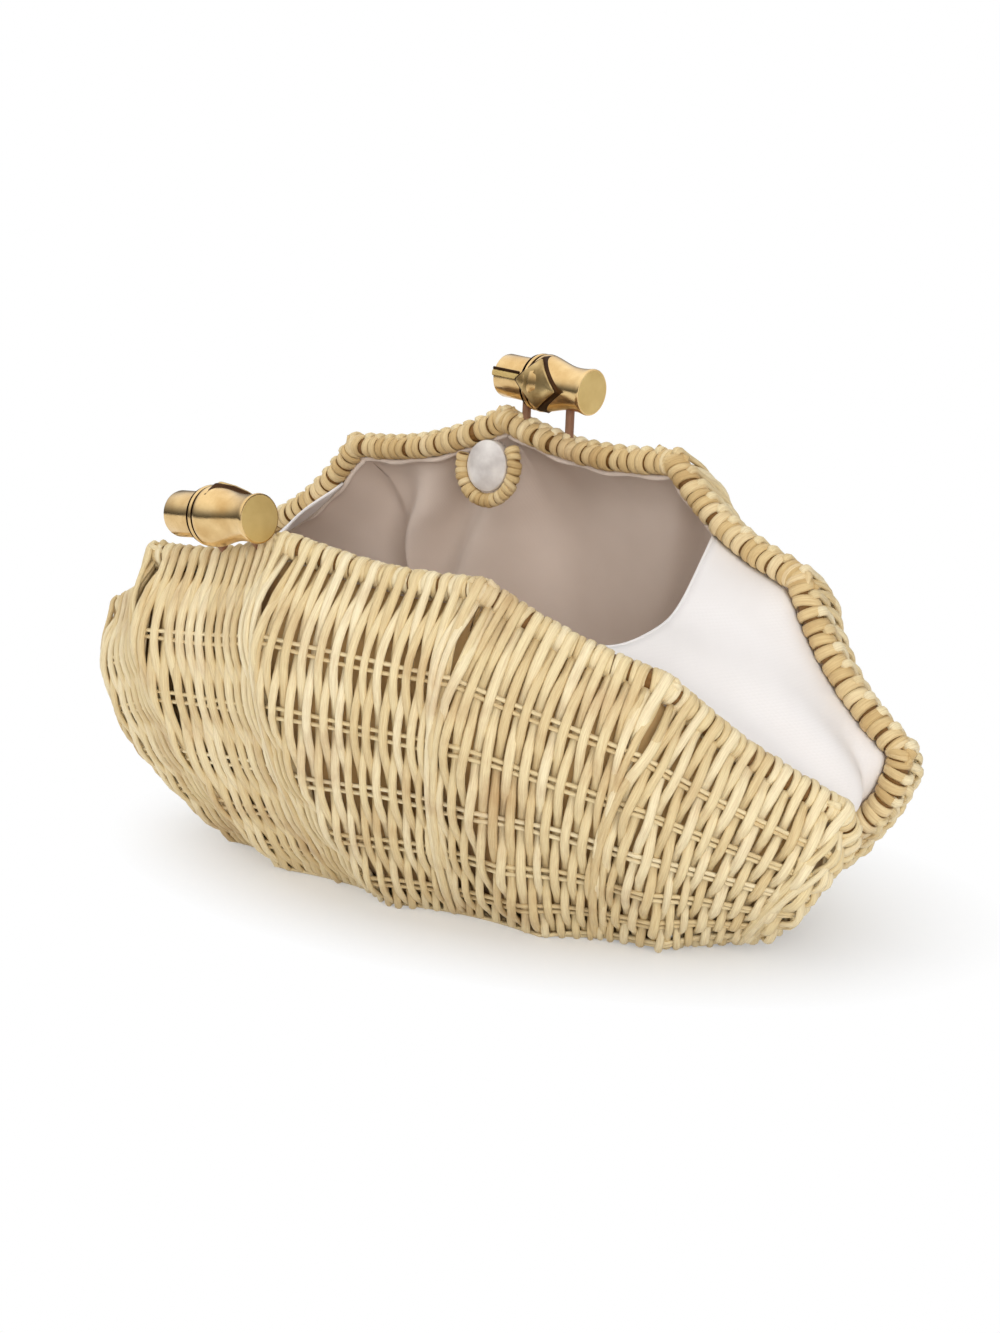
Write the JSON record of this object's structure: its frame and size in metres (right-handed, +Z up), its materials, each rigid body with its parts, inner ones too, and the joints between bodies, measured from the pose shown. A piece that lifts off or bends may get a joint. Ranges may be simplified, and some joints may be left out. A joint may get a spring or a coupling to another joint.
{
  "type": "rattan clutch",
  "caption": "Scalloped rattan clutch of two woven half shells hinged at the bottom, with wrapped rims, cotton lining, magnetic catch and bamboo-style metal toggles.",
  "frame": {"origin": "on the table under the middle of the open clutch, halfway between its ends and between its front and back bellies", "axes": "+X along the hinge to the right as seen from the front, +Y to the back half, +Z up"},
  "size_m": [0.2838, 0.1428, 0.1553],
  "materials": {
    "rattan_weave": "pale straw rattan reed, satin, woven",
    "rattan_rim": "golden cane, wrapped round a core",
    "rattan_rail": "plain cane rod",
    "cotton_lining": "plain woven off-white cotton",
    "cotton_gusset": "plain woven white cotton",
    "antique_brass": "polished cast brass with dark recesses",
    "dark_brass": "aged brass",
    "pearl": "pearly white, glossy"
  },
  "bodies": {
    "front_half": {"front_shell": "rattan_weave", "front_rim": "rattan_rim", "front_rail": "rattan_rail", "front_lining": "cotton_lining", "front_toggle": "antique_brass", "front_toggle_posts": "dark_brass", "front_magnet": "pearl", "front_magnet_ring": "rattan_rim", "hinge_rod": "rattan_rail", "front_hinge_loops": "rattan_rail", "left_gusset": "cotton_gusset", "right_gusset": "cotton_gusset"},
    "back_half": {"back_shell": "rattan_weave", "back_rim": "rattan_rim", "back_rail": "rattan_rail", "back_lining": "cotton_lining", "back_toggle": "antique_brass", "back_toggle_posts": "dark_brass", "back_magnet": "pearl", "back_magnet_ring": "rattan_rim", "back_hinge_loops": "rattan_rail"}
  },
  "joints": [
    {"name": "shell_hinge", "type": "hinge", "parent": "front_half", "child": "back_half", "pos_m": [0, 0.01571, 0.0268], "axis": [1, 0, 0], "range_deg": [0, 45.4], "deforming": ["left_gusset", "right_gusset"]}
  ]
}
